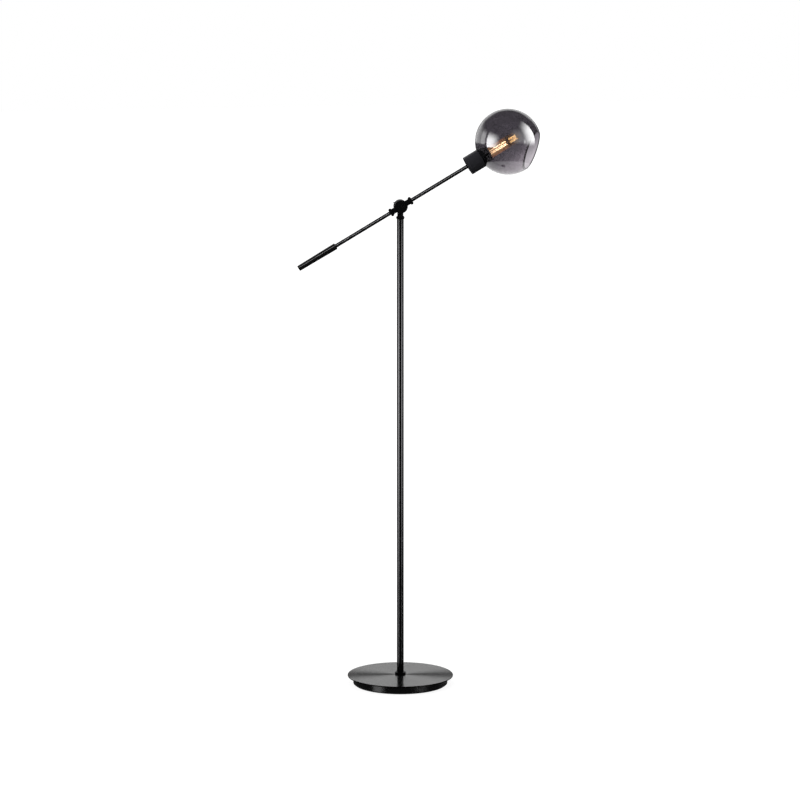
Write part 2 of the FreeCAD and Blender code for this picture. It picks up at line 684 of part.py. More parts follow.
# --- Arm pieces -----------------------------------------------------------------------------------------
def arm_hub():
    """The hollow front disc of the knuckle, with a socket on each side for the arm's tubes."""
    disc = across(KNUCKLE_RADIUS, FRONT_FACE_Y, FRONT_RIM_Y, PIVOT)
    disc = rounded_rim(disc, KNUCKLE_EDGE, KNUCKLE_RADIUS, FRONT_FACE_Y)
    rear_keep_out = across(KNUCKLE_RADIUS + KNUCKLE_GAP, FRONT_RIM_Y, REAR_FACE_Y, PIVOT)
    body = disc.fuse([socket(on_arm).cut(rear_keep_out), socket(on_tail).cut(rear_keep_out)])
    cavity = across(CAVITY_RADIUS, FRONT_FACE_Y + FRONT_FLOOR, FRONT_RIM_Y + PAST, PIVOT)
    cavity = cavity.cut([across(BOSS_RADIUS, FRONT_FACE_Y, FRONT_RIM_Y, PIVOT)] + stop_lugs())
    body = body.cut([cavity, socket_bores(on_arm), socket_bores(on_tail)])
    body = body.cut(across(HEAD_POCKET_RADIUS, FRONT_FACE_Y - PAST, POCKET_FLOOR_Y, PIVOT))
    body = body.cut(across(BOLT_RADIUS + RUNNING, FRONT_FACE_Y, FRONT_RIM_Y + PAST, PIVOT))
    return body.removeSplitter()


def socket(place):
    """The outside of one socket, from within the disc's wall to its open end."""
    return place(rod(SOCKET_RADIUS, CAVITY_RADIUS, SOCKET_END))


def socket_bores(place):
    """The bore for one tube and the narrower wire way from it into the hub's cavity."""
    bore = rod(ARM_RADIUS + FIT, SOCKET_FLOOR, SOCKET_END + PAST)
    wire_way = rod(ARM_RADIUS - ARM_WALL - SOCKET_STEP, BOSS_RADIUS + PAST, SOCKET_FLOOR + PAST)
    return place(bore.fuse(wire_way))


def stop_lugs():
    """Two lugs inside the hub's rim. The pin meets one at each end of the tilt."""
    pin_half_angle = math.degrees(math.asin(STOP_PIN_RADIUS / STOP_PIN_CIRCLE)) + STOP_MARGIN
    reach = 90 - STOP_ANGLE - pin_half_angle
    return [stop_lug(start) for start in (reach - LUG_WIDTH_ANGLE, 180 - reach)]


def stop_lug(start):
    """A sector of the rim's wall that begins at this angle above the arm's axis."""
    inner = CAVITY_RADIUS - LUG_HEIGHT
    outer = CAVITY_RADIUS + PAST
    end = FRONT_RIM_Y - LUG_SETBACK
    corners = [
        Vector(inner, FRONT_FACE_Y, 0),
        Vector(outer, FRONT_FACE_Y, 0),
        Vector(outer, end, 0),
        Vector(inner, end, 0),
    ]
    section = Part.Face(Part.makePolygon(corners + corners[:1]))
    section.rotate(ORIGIN, Y_AXIS, -(ARM_ELEVATION + start))
    lug = section.revolve(ORIGIN, Y_AXIS, -LUG_WIDTH_ANGLE)
    lug.translate(Vector(PIVOT.x, 0, PIVOT.z))
    return lug


def pivot_cap():
    """The shallow domed plug that hides the bolt's head."""
    radius = HEAD_POCKET_RADIUS - FIT
    dome = (radius**2 + CAP_CROWN**2) / (2 * CAP_CROWN)
    half = math.asin(radius / dome) / 2
    middle = (dome * math.sin(half), CAP_CROWN - dome + dome * math.cos(half))
    plug = turned([
        (0, -CAP_THICKNESS),
        (radius, -CAP_THICKNESS),
        (radius, 0),
        (middle, (0, CAP_CROWN)),
    ])
    plug.Placement = Placement(Vector(PIVOT.x, FRONT_FACE_Y, PIVOT.z), Rotation(X_AXIS, 90))
    return plug


def arm_bead(place):
    """The rounded collar that locks a tube in its socket."""
    start = SOCKET_END
    end = start + ARM_BEAD_LENGTH
    bore = ARM_RADIUS + FIT
    lip = ARM_BEAD_RADIUS - ARM_BEAD_DROP
    return place(turned([
        (bore, start),
        (lip, start),
        ((ARM_BEAD_RADIUS, (start + end) / 2), (lip, end)),
        (bore, end),
    ]))


def lamp_tube():
    return on_arm(pipe(ARM_RADIUS, ARM_RADIUS - ARM_WALL, SOCKET_FLOOR + FIT, TUBE_END))


def counter_tube():
    end = COUNTERWEIGHT_START + COUNTERWEIGHT_SOCKET - FIT
    return on_tail(pipe(ARM_RADIUS, ARM_RADIUS - ARM_WALL, SOCKET_FLOOR + FIT, end))


def counterweight():
    """The slightly tapered bar on the tail of the arm, bored at its thick end for the tube."""
    start = COUNTERWEIGHT_START
    end = COUNTERWEIGHT_END
    tip = COUNTERWEIGHT_TIP_RADIUS
    bend = COUNTERWEIGHT_ROUND * QUARTER_BEND
    bar = turned([
        (0, start),
        (COUNTERWEIGHT_RADIUS - COUNTERWEIGHT_CHAMFER, start),
        (COUNTERWEIGHT_RADIUS, start + COUNTERWEIGHT_CHAMFER),
        (tip, end - COUNTERWEIGHT_ROUND),
        ((tip - bend, end - bend), (tip - COUNTERWEIGHT_ROUND, end)),
        (0, end),
    ])
    return on_tail(bar.cut(rod(ARM_RADIUS + FIT, start - PAST, start + COUNTERWEIGHT_SOCKET)))


# --- Lamp head ------------------------------------------------------------------------------------------
def glass_outside(radius):
    """Where the globe's outer surface lies along the arm, at this distance from its axis."""
    return GLOBE_CENTRE - math.sqrt(GLOBE_RADIUS**2 - radius**2)


def glass_inside(radius):
    return GLOBE_CENTRE - math.sqrt(GLASS_INNER_RADIUS**2 - radius**2)


def shade_cup():
    """The plain cup behind the globe. Its rim is the globe's outer seat."""
    inner = CUP_RADIUS - CUP_WALL
    front = glass_outside(inner) - SEAT
    floor = CUP_BACK + CUP_BACK_THICKNESS
    bend = CUP_EDGE * QUARTER_BEND
    return on_arm(turned([
        (ARM_RADIUS + FIT, CUP_BACK),
        (CUP_RADIUS - CUP_EDGE, CUP_BACK),
        ((CUP_RADIUS - bend, CUP_BACK + bend), (CUP_RADIUS, CUP_BACK + CUP_EDGE)),
        (CUP_RADIUS, front),
        (inner, front),
        (inner, floor),
        (ARM_RADIUS + FIT, floor),
    ]))


def cup_nut():
    bottom = CUP_BACK + CUP_BACK_THICKNESS
    return on_arm(hex_nut(bottom, bottom + NUT_HEIGHT, ARM_RADIUS + FIT))


def holder_cap():
    """The lampholder's rear cap: a threaded neck, a round shoulder and a short skirt."""
    start = HOLDER_CAP_START
    shoulder = start + HOLDER_NECK_LENGTH
    skirt = shoulder + HOLDER_SLOPE + HOLDER_ROUND
    ceiling = shoulder + HOLDER_CEILING
    bend = HOLDER_ROUND * QUARTER_BEND
    shape = turned([
        (ARM_RADIUS + FIT, start),
        (HOLDER_NECK_RADIUS, start),
        (HOLDER_NECK_RADIUS, shoulder),
        (HOLDER_RADIUS - HOLDER_ROUND, shoulder + HOLDER_SLOPE),
        ((HOLDER_RADIUS - bend, shoulder + HOLDER_SLOPE + bend), (HOLDER_RADIUS, skirt)),
        (HOLDER_RADIUS, HOLDER_SPLIT),
        (HOLDER_BORE, HOLDER_SPLIT),
        (HOLDER_BORE, ceiling + HOLDER_CEILING_BEVEL),
        (HOLDER_BORE - HOLDER_CEILING_BEVEL, ceiling),
        (ARM_RADIUS + FIT, ceiling),
    ])
    return on_arm(shape.cut(holder_screw_shape(HOLDER_SCREW_RADIUS + FIT, 0, HOLDER_NECK_RADIUS + PAST)))


def holder_screw_shape(radius, start, end):
    centre = Vector(0, 0, HOLDER_CAP_START + HOLDER_NECK_LENGTH / 2)
    return across(radius, start, end, centre)


def holder_screw():
    """The grub screw that locks the cap on the tube."""
    return on_arm(holder_screw_shape(HOLDER_SCREW_RADIUS, ARM_RADIUS + FIT, HOLDER_NECK_RADIUS))


def holder_body():
    """The lampholder's threaded sleeve, with an inward lip at its mouth."""
    lip = HOLDER_END - HOLDER_LIP
    chamfer = HOLDER_MOUTH_CHAMFER
    return on_arm(turned([
        (HOLDER_BORE, HOLDER_SPLIT + FIT),
        (HOLDER_RADIUS, HOLDER_SPLIT + FIT),
        (HOLDER_RADIUS, HOLDER_END - chamfer),
        (HOLDER_RADIUS - chamfer, HOLDER_END),
        (HOLDER_MOUTH_RADIUS, HOLDER_END),
        (HOLDER_MOUTH_RADIUS, lip),
        (HOLDER_BORE, lip),
    ]))


def holder_insert():
    """The ceramic block that carries the shell and the centre contact, with two wire holes."""
    start = HOLDER_SPLIT + FIT
    block = rod(HOLDER_BORE - FIT, start, INSERT_END)
    for side in (-1, 1):
        hole = rod(INSERT_HOLE_RADIUS, start - PAST, INSERT_END + PAST)
        hole.translate(Vector(side * INSERT_HOLE_OFFSET, 0, 0))
        block = block.cut(hole)
    return on_arm(block)


def screw_shell():
    """The metal shell that the bulb's cap screws into, with a flange on the ceramic block."""
    wall = pipe(SHELL_RADIUS, SHELL_RADIUS - SHELL_WALL, INSERT_END, INSERT_END + SHELL_LENGTH)
    flange = pipe(SHELL_FLANGE_RADIUS, SHELL_RADIUS - SHELL_FLANGE, INSERT_END, INSERT_END + SHELL_WALL)
    return on_arm(wall.fuse(flange).removeSplitter())


def centre_contact():
    """The sprung tongue that meets the bulb's tip: a strip with a foot, a rise and a flat end."""
    rise = CONTACT_HEIGHT - CONTACT_THICKNESS
    back = -CONTACT_WIDTH / 2
    underside = [
        Vector(-CONTACT_FOOT, back, INSERT_END),
        Vector(0, back, INSERT_END),
        Vector(CONTACT_SLOPE, back, INSERT_END + rise),
        Vector(CONTACT_TIP, back, INSERT_END + rise),
    ]
    top = [point + Vector(0, 0, CONTACT_THICKNESS) for point in reversed(underside)]
    strip = Part.Face(Part.makePolygon(underside + top + underside[:1]))
    return on_arm(strip.extrude(Vector(0, CONTACT_WIDTH, 0)))


def shade_ring():
    """The threaded ring inside the globe: a flange on the glass and a ribbed skirt."""
    back = glass_inside(RING_RADIUS) + SEAT
    front = back + RING_FLANGE
    end = front + RING_SKIRT_LENGTH
    bore = HOLDER_RADIUS + FIT
    ring = turned([
        (bore, back),
        (RING_RADIUS, back),
        (RING_RADIUS, front - RING_CHAMFER),
        (RING_RADIUS - RING_CHAMFER, front),
        (RING_SKIRT_RADIUS, front),
        (RING_SKIRT_RADIUS - RING_SKIRT_TAPER, end),
        (bore, end),
    ])
    groove_centre = RING_SKIRT_RADIUS + RING_RIB_RADIUS - RING_RIB_DEPTH
    groove = rod(RING_RIB_RADIUS, front + RING_RIB_START, end + PAST)
    groove.translate(Vector(groove_centre, 0, 0))
    for number in range(RING_RIBS):
        notch = groove.copy()
        notch.rotate(ORIGIN, Z_AXIS, 360 * number / RING_RIBS)
        ring = ring.cut(notch)
    return on_arm(ring)


def glass_globe():
    """The blown globe, turned about the axis of its oblique mouth, with a half-round rim there.
    Its round hole for the lampholder is cut along the arm's axis."""
    middle = GLOBE_RADIUS - GLASS_WALL / 2
    rim_angle = math.asin(MOUTH_RADIUS / middle)
    across_rim = math.sin(rim_angle)
    along_rim = math.cos(rim_angle)
    half_wall = GLASS_WALL / 2
    outer_rim = (GLOBE_RADIUS * across_rim, GLOBE_RADIUS * along_rim)
    rim_crest = (middle * across_rim - half_wall * along_rim, middle * along_rim + half_wall * across_rim)
    inner_rim = (GLASS_INNER_RADIUS * across_rim, GLASS_INNER_RADIUS * along_rim)
    globe = turned([
        (0, -GLOBE_RADIUS),
        ((GLOBE_RADIUS, 0), outer_rim),
        (rim_crest, inner_rim),
        ((GLASS_INNER_RADIUS, 0), (0, -GLASS_INNER_RADIUS)),
    ])
    globe.rotate(ORIGIN, Z_AXIS, 180)
    globe.rotate(ORIGIN, Y_AXIS, MOUTH_ANGLE)
    globe.translate(Vector(0, 0, GLOBE_CENTRE))
    return on_arm(globe.cut(rod(GLASS_HOLE_RADIUS, CUP_BACK, GLOBE_CENTRE)))


# --- Bulb -------------------------------------------------------------------------------------------------
def bulb_contact():
    return on_arm(turned([
        (0, BULB_START),
        (BULB_TIP_RADIUS - BULB_TIP_SLOPE, BULB_START),
        (BULB_TIP_RADIUS, BULB_START + BULB_TIP_HEIGHT),
        (0, BULB_START + BULB_TIP_HEIGHT),
    ]))


def bulb_insulator():
    """The glass cone between the tip and the threaded cap."""
    start = BULB_START + BULB_TIP_HEIGHT
    return on_arm(turned([
        (0, start),
        (BULB_TIP_RADIUS + INSULATOR_STEP, start),
        (INSULATOR_RADIUS, BULB_CAP_START),
        (0, BULB_CAP_START),
    ]))


def bulb_cap():
    """The threaded cap: a thin shell with a sloping shoulder and a lip on the insulator."""
    start = BULB_CAP_START
    shoulder = start + BULB_CAP_SHOULDER
    wall = BULB_CAP_WALL
    return on_arm(turned([
        (INSULATOR_RADIUS - BULB_CAP_LIP, start),
        (INSULATOR_RADIUS, start),
        (BULB_CAP_RADIUS, shoulder),
        (BULB_CAP_RADIUS, BULB_CAP_END),
        (BULB_CAP_RADIUS - wall, BULB_CAP_END),
        (BULB_CAP_RADIUS - wall, shoulder + wall / 2),
        (INSULATOR_RADIUS - wall / 2, start + wall),
        (INSULATOR_RADIUS - BULB_CAP_LIP, start + wall),
    ]))


def bulb_envelope():
    """The tubular glass: a neck in the cap, a flare, a straight wall and a domed end."""
    foot = BULB_CAP_END - BULB_NECK_OVERLAP
    wide = BULB_CAP_END + BULB_FLARE
    dome = BULB_END - BULB_RADIUS
    inner = BULB_RADIUS - BULB_GLASS
    lean = math.sqrt(0.5)
    return on_arm(turned([
        (BULB_NECK_RADIUS - BULB_GLASS, foot),
        (BULB_NECK_RADIUS, foot),
        (BULB_NECK_RADIUS, BULB_CAP_END),
        (BULB_RADIUS, wide),
        (BULB_RADIUS, dome),
        ((BULB_RADIUS * lean, dome + BULB_RADIUS * lean), (0, BULB_END)),
        (0, BULB_END - BULB_GLASS),
        ((inner * lean, dome + inner * lean), (inner, dome)),
        (inner, wide),
        (BULB_NECK_RADIUS - BULB_GLASS, BULB_CAP_END),
    ]))


def bulb_stem():
    """The glass stem on the bulb's axis, flared at its foot where it is sealed into the neck."""
    foot = BULB_CAP_END - BULB_NECK_OVERLAP
    foot_radius = BULB_NECK_RADIUS - BULB_GLASS - FIT
    thin_start = LOWER_END + SPIDER_THICKNESS
    tip = UPPER_END + SPIDER_THICKNESS
    return on_arm(turned([
        (0, foot),
        (foot_radius, foot),
        (foot_radius, foot + STEM_FOOT),
        (
            (STEM_FLARE_RADIUS, foot + STEM_FLARE_HEIGHT),
            (STEM_RADIUS, LOWER_START - SPIDER_THICKNESS),
        ),
        (STEM_RADIUS, thin_start),
        (STEM_TIP_RADIUS, thin_start + STEM_TAPER),
        (STEM_TIP_RADIUS, tip),
        (0, tip),
    ]))


def filaments(count, circle, start, end):
    """Straight filaments in a ring round the stem, between two wire spiders."""
    rods = []
    for number in range(count):
        angle = 2 * math.pi * number / count
        foot = Vector(circle * math.cos(angle), circle * math.sin(angle), start)
        rods.append(Part.makeCylinder(FILAMENT_RADIUS, end - start, foot))
    return on_arm(Part.makeCompound(rods))


def lower_filaments():
    return filaments(LOWER_FILAMENTS, FILAMENT_CIRCLE, LOWER_START, LOWER_END)


def upper_filaments():
    return filaments(UPPER_FILAMENTS, CROWN_CIRCLE, UPPER_START, UPPER_END)


def spider(stem_radius, circle, start):
    """A thin collar on the stem that reaches out to the filaments' ends."""
    return pipe(circle + FILAMENT_RADIUS, stem_radius + FIT, start, start + SPIDER_THICKNESS)


def filament_spiders():
    return on_arm(Part.makeCompound([
        spider(STEM_RADIUS, FILAMENT_CIRCLE, LOWER_START - SPIDER_THICKNESS),
        spider(STEM_RADIUS, FILAMENT_CIRCLE, LOWER_END),
        spider(STEM_TIP_RADIUS, CROWN_CIRCLE, UPPER_START - SPIDER_THICKNESS),
        spider(STEM_TIP_RADIUS, CROWN_CIRCLE, UPPER_END),
    ]))


# --- All the pieces, by name --------------------------------------------------------------------------------
def all_pieces():
    return {
        "floor_pad": floor_pad(),
        "base_weight": base_weight(),
        "cord_gland": cord_gland(),
        "base_plate": base_plate(),
        "base_nipple": base_nipple(),
        "nipple_washer": nipple_washer(),
        "nipple_nut": nipple_nut(),
        "base_collar": base_collar(),
        "lower_pole": lower_pole(),
        "upper_pole": upper_pole(),
        "pole_bushes": pole_bushes(),
        "pole_joiner": pole_joiner(),
        "swivel_seat": swivel_seat(),
        "swivel_screw": swivel_screw(),
        "swivel_washer": swivel_washer(),
        "knuckle_stem": knuckle_stem(),
        "pivot_bolt": pivot_bolt(),
        "bolt_washer": bolt_washer(),
        "friction_disc": friction_disc(),
        "stop_pin": stop_pin(),
        "spring_washer": spring_washer(),
        "wing_nut": wing_nut(),
        "arm_hub": arm_hub(),
        "pivot_cap": pivot_cap(),
        "lamp_side_bead": arm_bead(on_arm),
        "weight_side_bead": arm_bead(on_tail),
        "lamp_tube": lamp_tube(),
        "counter_tube": counter_tube(),
        "counterweight": counterweight(),
        "shade_cup": shade_cup(),
        "cup_nut": cup_nut(),
        "holder_cap": holder_cap(),
        "holder_screw": holder_screw(),
        "holder_body": holder_body(),
        "holder_insert": holder_insert(),
        "screw_shell": screw_shell(),
        "centre_contact": centre_contact(),
        "shade_ring": shade_ring(),
        "glass_globe": glass_globe(),
        "bulb_contact": bulb_contact(),
        "bulb_insulator": bulb_insulator(),
        "bulb_cap": bulb_cap(),
        "bulb_envelope": bulb_envelope(),
        "bulb_stem": bulb_stem(),
        "lower_filaments": lower_filaments(),
        "upper_filaments": upper_filaments(),
        "filament_spiders": filament_spiders(),
    }


def main():
    os.makedirs("parts", exist_ok=True)
    for name, shape in all_pieces().items():
        if not shape.isValid():
            raise ValueError(name + " is not a valid shape")
        shape.exportStep(os.path.join("parts", name + ".step"))
        print(name, len(shape.Solids), round(shape.Volume, 1))


main()
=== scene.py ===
import json
import math

import bpy
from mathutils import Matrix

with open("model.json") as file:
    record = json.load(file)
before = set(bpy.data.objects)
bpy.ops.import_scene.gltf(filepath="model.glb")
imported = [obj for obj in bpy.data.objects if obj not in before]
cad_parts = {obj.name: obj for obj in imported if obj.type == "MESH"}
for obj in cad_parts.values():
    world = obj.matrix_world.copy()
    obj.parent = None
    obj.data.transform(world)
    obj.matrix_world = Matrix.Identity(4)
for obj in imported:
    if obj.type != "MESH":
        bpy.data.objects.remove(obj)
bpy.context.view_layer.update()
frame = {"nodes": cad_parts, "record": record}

# Metres and degrees, in the lamp's own frame. The arm lies in a plane parallel to XZ.

# --- Camera -------------------------------------------------------------------------------------------
CAMERA_PLACE = (-1.76399, -10.65009, 2.63152)
CAMERA_AZIMUTH = -9.4
CAMERA_PITCH = -9.813
CAMERA_UP = (0.028, 0.168, 0.985)
CAMERA_BACK = (-0.161, -0.972, 0.170)     # from what the camera sees towards the camera
SENSOR = 36.0
LENS = 187.69
CAMERA_REACH = 100.0

# --- Lamp ---------------------------------------------------------------------------------------------
ARM_ELEVATION = 30.15
TILT_AXIS = (0.0, -0.010, 1.2771)
GLOBE_DISTANCE = 0.3272       # from the tilt axis, along the arm
GLOBE_RADIUS = 0.086
PLATE_TOP = 0.025
MOUTH_ANGLE = 50.0            # from the arm's line down to the axis of the globe's mouth
RIM_SHADE_START = 0.757             # where the painted dark edge of the mouth's rim begins, in globe radii from the centre
RIM_SHADE_END = 0.763
COAT_FADE = (0.64, 0.68)      # where the half-mirrored coat fades out before the rim, in the same measure
LIT_START = 0.273             # the lit part of the bulb, along the arm
LIT_END = 0.322

# --- Finishes -----------------------------------------------------------------------------------------
STROKES_PER_METRE = 1500.0    # the plate's turning marks, counted outwards
STROKE_BREAKS = 4.0           # how often such a mark changes along its circle
PLATE_EDGE_TINT = 0.7         # what the plate mirrors at a very low angle
AMBER_GLOW = 0.9

# --- Studio -------------------------------------------------------------------------------------------
FLOOR_SIZE = 30.0
FLOOR_LIT = 0.28              # how much of the floor's white is light that a shadow can take away
FLOOR_GLOW = (0.3, 1.2)       # how far from the lamp the floor's own white starts and is full
FLOOR_GLOW_NEAR = 0.84
WORLD_LEVEL = 0.6             # the even light on matt surfaces
STUDIO_DARK = 0.025
FLOOR_SEEN = 0.8              # the white floor, as the lamp's mirrors see it
FLOOR_EDGE = (-0.635, -0.595) # where that floor ends on the globe, as on a mirror ball of radius 1


# --- Node helpers -------------------------------------------------------------------------------------
class Nodes:
    """A node tree, with short ways to add nodes and feed their sockets."""

    def __init__(self, tree):
        self.nodes = tree.nodes
        self.links = tree.links

    def node(self, kind, **inputs):
        made = self.nodes.new(kind)
        for name, value in inputs.items():
            self.feed(made.inputs[name.replace("_", " ")], value)
        return made

    def feed(self, socket, value):
        if isinstance(value, bpy.types.NodeSocket):
            self.links.new(value, socket)
        else:
            socket.default_value = value

    def place(self):
        """The point's place in the lamp's frame, at rest."""
        return self.nodes.new("ShaderNodeTexCoord").outputs["Object"]

    def math(self, operation, first, second=0.0):
        made = self.nodes.new("ShaderNodeMath")
        made.operation = operation
        self.feed(made.inputs[0], first)
        self.feed(made.inputs[1], second)
        return made.outputs["Value"]

    def dot(self, vector, constant):
        made = self.nodes.new("ShaderNodeVectorMath")
        made.operation = "DOT_PRODUCT"
        self.feed(made.inputs[0], vector)
        made.inputs[1].default_value = constant
        return made.outputs["Value"]

    def parts(self, vector):
        made = self.node("ShaderNodeSeparateXYZ", Vector=vector)
        return made.outputs["X"], made.outputs["Y"], made.outputs["Z"]

    def spread(self, value, low, high, start=0.3, end=0.7):
        """Maps a number from start..end to low..high, with a soft beginning and end."""
        made = self.nodes.new("ShaderNodeMapRange")
        made.interpolation_type = "SMOOTHSTEP"
        self.feed(made.inputs["Value"], value)
        made.inputs["From Min"].default_value = start
        made.inputs["From Max"].default_value = end
        self.feed(made.inputs["To Min"], low)
        self.feed(made.inputs["To Max"], high)
        return made.outputs["Result"]

    def window(self, value, start, low, high, end):
        """1 between low and high, fading to 0 at start and at end."""
        rising = self.spread(value, 0, 1, start, low)
        falling = self.spread(value, 1, 0, high, end)
        return self.math("MULTIPLY", rising, falling)

    def choose(self, factor, low, high):
        """Mixes two numbers by a factor from 0 to 1."""
        return self.node("ShaderNodeMix", Factor=factor, A=low, B=high).outputs["Result"]

    def ray(self, kind):
        """1 for one kind of ray and 0 for the others."""
        return self.nodes.new("ShaderNodeLightPath").outputs[f"Is {kind} Ray"]

    def plainly_seen(self):
        """1 for the camera's rays, also behind glass, and 0 for the others."""
        return self.math("MAXIMUM", self.ray("Camera"), self.ray("Transmission"))

    def grey(self, value):
        return self.node("ShaderNodeCombineColor", Red=value, Green=value, Blue=value).outputs["Color"]

    def blend(self, value, low, high):
        """Mixes two colours by a value from 0 to 1."""
        made = self.nodes.new("ShaderNodeMix")
        made.data_type = "RGBA"
        self.feed(made.inputs["Factor"], value)
        for name, colour in (("A", low), ("B", high)):
            self.feed(made.inputs[name], (*colour, 1.0) if isinstance(colour, tuple) else colour)
        return made.outputs["Result"]


class Surface(Nodes):
    """A material with one principled shader."""

    def __init__(self, name, **sockets):
        self.material = bpy.data.materials.new(name)
        self.material.use_nodes = True
        super().__init__(self.material.node_tree)
        self.shader = self.nodes["Principled BSDF"]
        self.set(**sockets)

    def set(self, **sockets):
        for name, value in sockets.items():
            if isinstance(value, tuple) and len(value) == 3:
                value = (*value, 1.0)
            self.feed(self.shader.inputs[name.replace("_", " ")], value)

    def stretched(self, scale, turn=(0, 0, 0)):
        mapping = self.nodes.new("ShaderNodeMapping")
        mapping.vector_type = "TEXTURE"
        mapping.inputs["Rotation"].default_value = [math.radians(angle) for angle in turn]
        mapping.inputs["Scale"].default_value = scale
        self.links.new(self.place(), mapping.inputs["Vector"])
        return mapping.outputs["Vector"]

    def noise(self, vector, scale, detail=4.0, roughness=0.55):
        made = self.node("ShaderNodeTexNoise", Vector=vector, Scale=scale, Detail=detail, Roughness=roughness)
        return made.outputs["Fac"]

    def bump(self, height, distance, strength=1.0):
        made = self.node("ShaderNodeBump", Height=height, Distance=distance, Strength=strength)
        return made.outputs["Normal"]

    def vary(self, value, name, low, high):
        """Feeds a socket with a number that wanders between low and high."""
        self.set(**{name: self.spread(value, low, high)})


# --- Materials ----------------------------------------------------------------------------------------
def polished_nickel(name, colour, roughness, axis_tilt, edge):
    """Dark polished plating with the faint drawing lines of a tube along its axis."""
    surface = Surface(name, Metallic=1.0, Specular_Tint=(edge, edge, edge))
    lines = surface.noise(surface.stretched((1, 1, 40), (0, axis_tilt, 0)), 900, 5)
    haze = surface.noise(surface.place(), 25, 3)
    surface.vary(haze, "Roughness", roughness * 0.85, roughness * 1.2)
    dark = tuple(part * 0.9 for part in colour)
    light = tuple(part * 1.1 for part in colour)
    surface.set(Base_Color=surface.blend(surface.spread(haze, 0, 1), dark, light))
    surface.set(Normal=surface.bump(lines, 0.000001, 0.1))
    return surface.material


def brushed_plate():
    """Turned black-nickel sheet. The circular brushing round the pole gives its shine two dark fans."""
    surface = Surface("brushed_black", Metallic=1.0, Anisotropic=0.95, Anisotropic_Rotation=0.25)
    x, y, z = surface.parts(surface.place())
    squares = surface.math("ADD", surface.math("MULTIPLY", x, x), surface.math("MULTIPLY", y, y))
    radius = surface.math("SQRT", squares)
    angle = surface.math("ARCTAN2", y, x)
    polar = surface.node(
        "ShaderNodeCombineXYZ",
        X=surface.math("MULTIPLY", radius, STROKES_PER_METRE),
        Y=surface.math("MULTIPLY", surface.math("SINE", angle), STROKE_BREAKS),
        Z=surface.math("MULTIPLY", surface.math("COSINE", angle), STROKE_BREAKS),
    ).outputs["Vector"]
    strokes = surface.noise(polar, 1.0, 6, 0.7)
    tangent = surface.nodes.new("ShaderNodeTangent")
    tangent.direction_type = "RADIAL"
    tangent.axis = "Z"
    surface.set(Tangent=tangent.outputs["Tangent"])
    surface.vary(strokes, "Roughness", 0.2, 0.26)
    # the plate's side, below its top face, gets a fifth of the top's colour and edge tint, so it shows darker
    rim = surface.spread(z, 0.2, 1.0, PLATE_TOP - 0.0010, PLATE_TOP - 0.0001)
    tone = surface.math("MULTIPLY", rim, surface.spread(strokes, 0.22, 0.26))
    edge = surface.math("MULTIPLY", rim, PLATE_EDGE_TINT)
    surface.set(Base_Color=surface.grey(tone), Specular_Tint=surface.grey(edge))
    surface.set(Normal=surface.bump(strokes, 0.000004, 0.3))
    return surface.material


def black_paint(name, colour, roughness, grain, shine=0.5, coat=0.0):
    """Painted or enamelled black, with a fine orange peel and slightly uneven gloss."""
    surface = Surface(name, Coat_Weight=coat, Coat_Roughness=0.1, Coat_IOR=1.7, Specular_IOR_Level=shine)
    peel = surface.noise(surface.place(), grain, 3)
    cloud = surface.noise(surface.place(), 30, 3)
    surface.vary(cloud, "Roughness", roughness * 0.85, roughness * 1.2)
    light = tuple(part * 1.4 for part in colour)
    surface.set(Base_Color=surface.blend(surface.spread(peel, 0, 1), colour, light))
    surface.set(Normal=surface.bump(peel, 0.00002, 0.2))
    return surface.material


def moulded(name, colour, roughness, grain=1200, shine=0.3):
    """Moulded black resin with an eroded, slightly mottled skin."""
    surface = Surface(name, Specular_IOR_Level=shine)
    skin = surface.noise(surface.place(), grain, 4, 0.65)
    mottle = surface.noise(surface.place(), 60, 3)
    surface.vary(mottle, "Roughness", roughness * 0.85, roughness * 1.15)
    light = tuple(part * 1.8 for part in colour)
    surface.set(Base_Color=surface.blend(surface.spread(skin, 0, 1), colour, light))
    surface.set(Normal=surface.bump(skin, 0.00005, 0.4))
    return surface.material


def plain_metal(name, colour, roughness):
    """Drawn or plated metal with fine random wear."""
    surface = Surface(name, Metallic=1.0)
    wear = surface.noise(surface.place(), 500, 5)
    surface.vary(wear, "Roughness", roughness * 0.8, roughness * 1.3)
    dark = tuple(part * 0.85 for part in colour)
    surface.set(Base_Color=surface.blend(surface.spread(wear, 0, 1), dark, colour))
    surface.set(Normal=surface.bump(wear, 0.00002, 0.3))
    return surface.material


def glazed_ceramic():
    surface = Surface("ceramic", Coat_Weight=0.6, Coat_Roughness=0.1)
    body = surface.noise(surface.place(), 400, 4)
    surface.vary(body, "Roughness", 0.3, 0.5)
    surface.set(Base_Color=surface.blend(surface.spread(body, 0, 1), (0.8, 0.79, 0.74), (0.88, 0.87, 0.83)))
    surface.set(Normal=surface.bump(body, 0.00003, 0.3))
    return surface.material


def glass(name, index, ripple, **sockets):
    """Blown or drawn glass with a very slow waviness."""
    surface = Surface(name, Transmission_Weight=1.0, IOR=index, Roughness=0.0, **sockets)
    wave = surface.noise(surface.place(), 14, 2)
    surface.set(Normal=surface.bump(wave, ripple, 0.5))
    return surface


def in_arm_plane(angle):
    """The direction at this angle above level, in the arm's plane."""
    turn = math.radians(angle)
    return (math.cos(turn), 0.0, math.sin(turn))


def along_arm(surface, distance):
    """Metres past a place on the arm, measured along it from the tilt axis."""
    direction = in_arm_plane(ARM_ELEVATION)
    start = sum(part * axis for part, axis in zip(direction, TILT_AXIS)) + distance
    return surface.math("SUBTRACT", surface.dot(surface.place(), direction), start)


def from_centre(surface, direction):
    """How far a point is from the globe's centre in one direction, in globe radii."""
    centre = [axis + GLOBE_DISTANCE * part for axis, part in zip(TILT_AXIS, in_arm_plane(ARM_ELEVATION))]
    way = tuple(part / GLOBE_RADIUS for part in direction)
    middle = sum(part * axis for part, axis in zip(way, centre))
    return surface.math("SUBTRACT", surface.dot(surface.place(), way), middle)


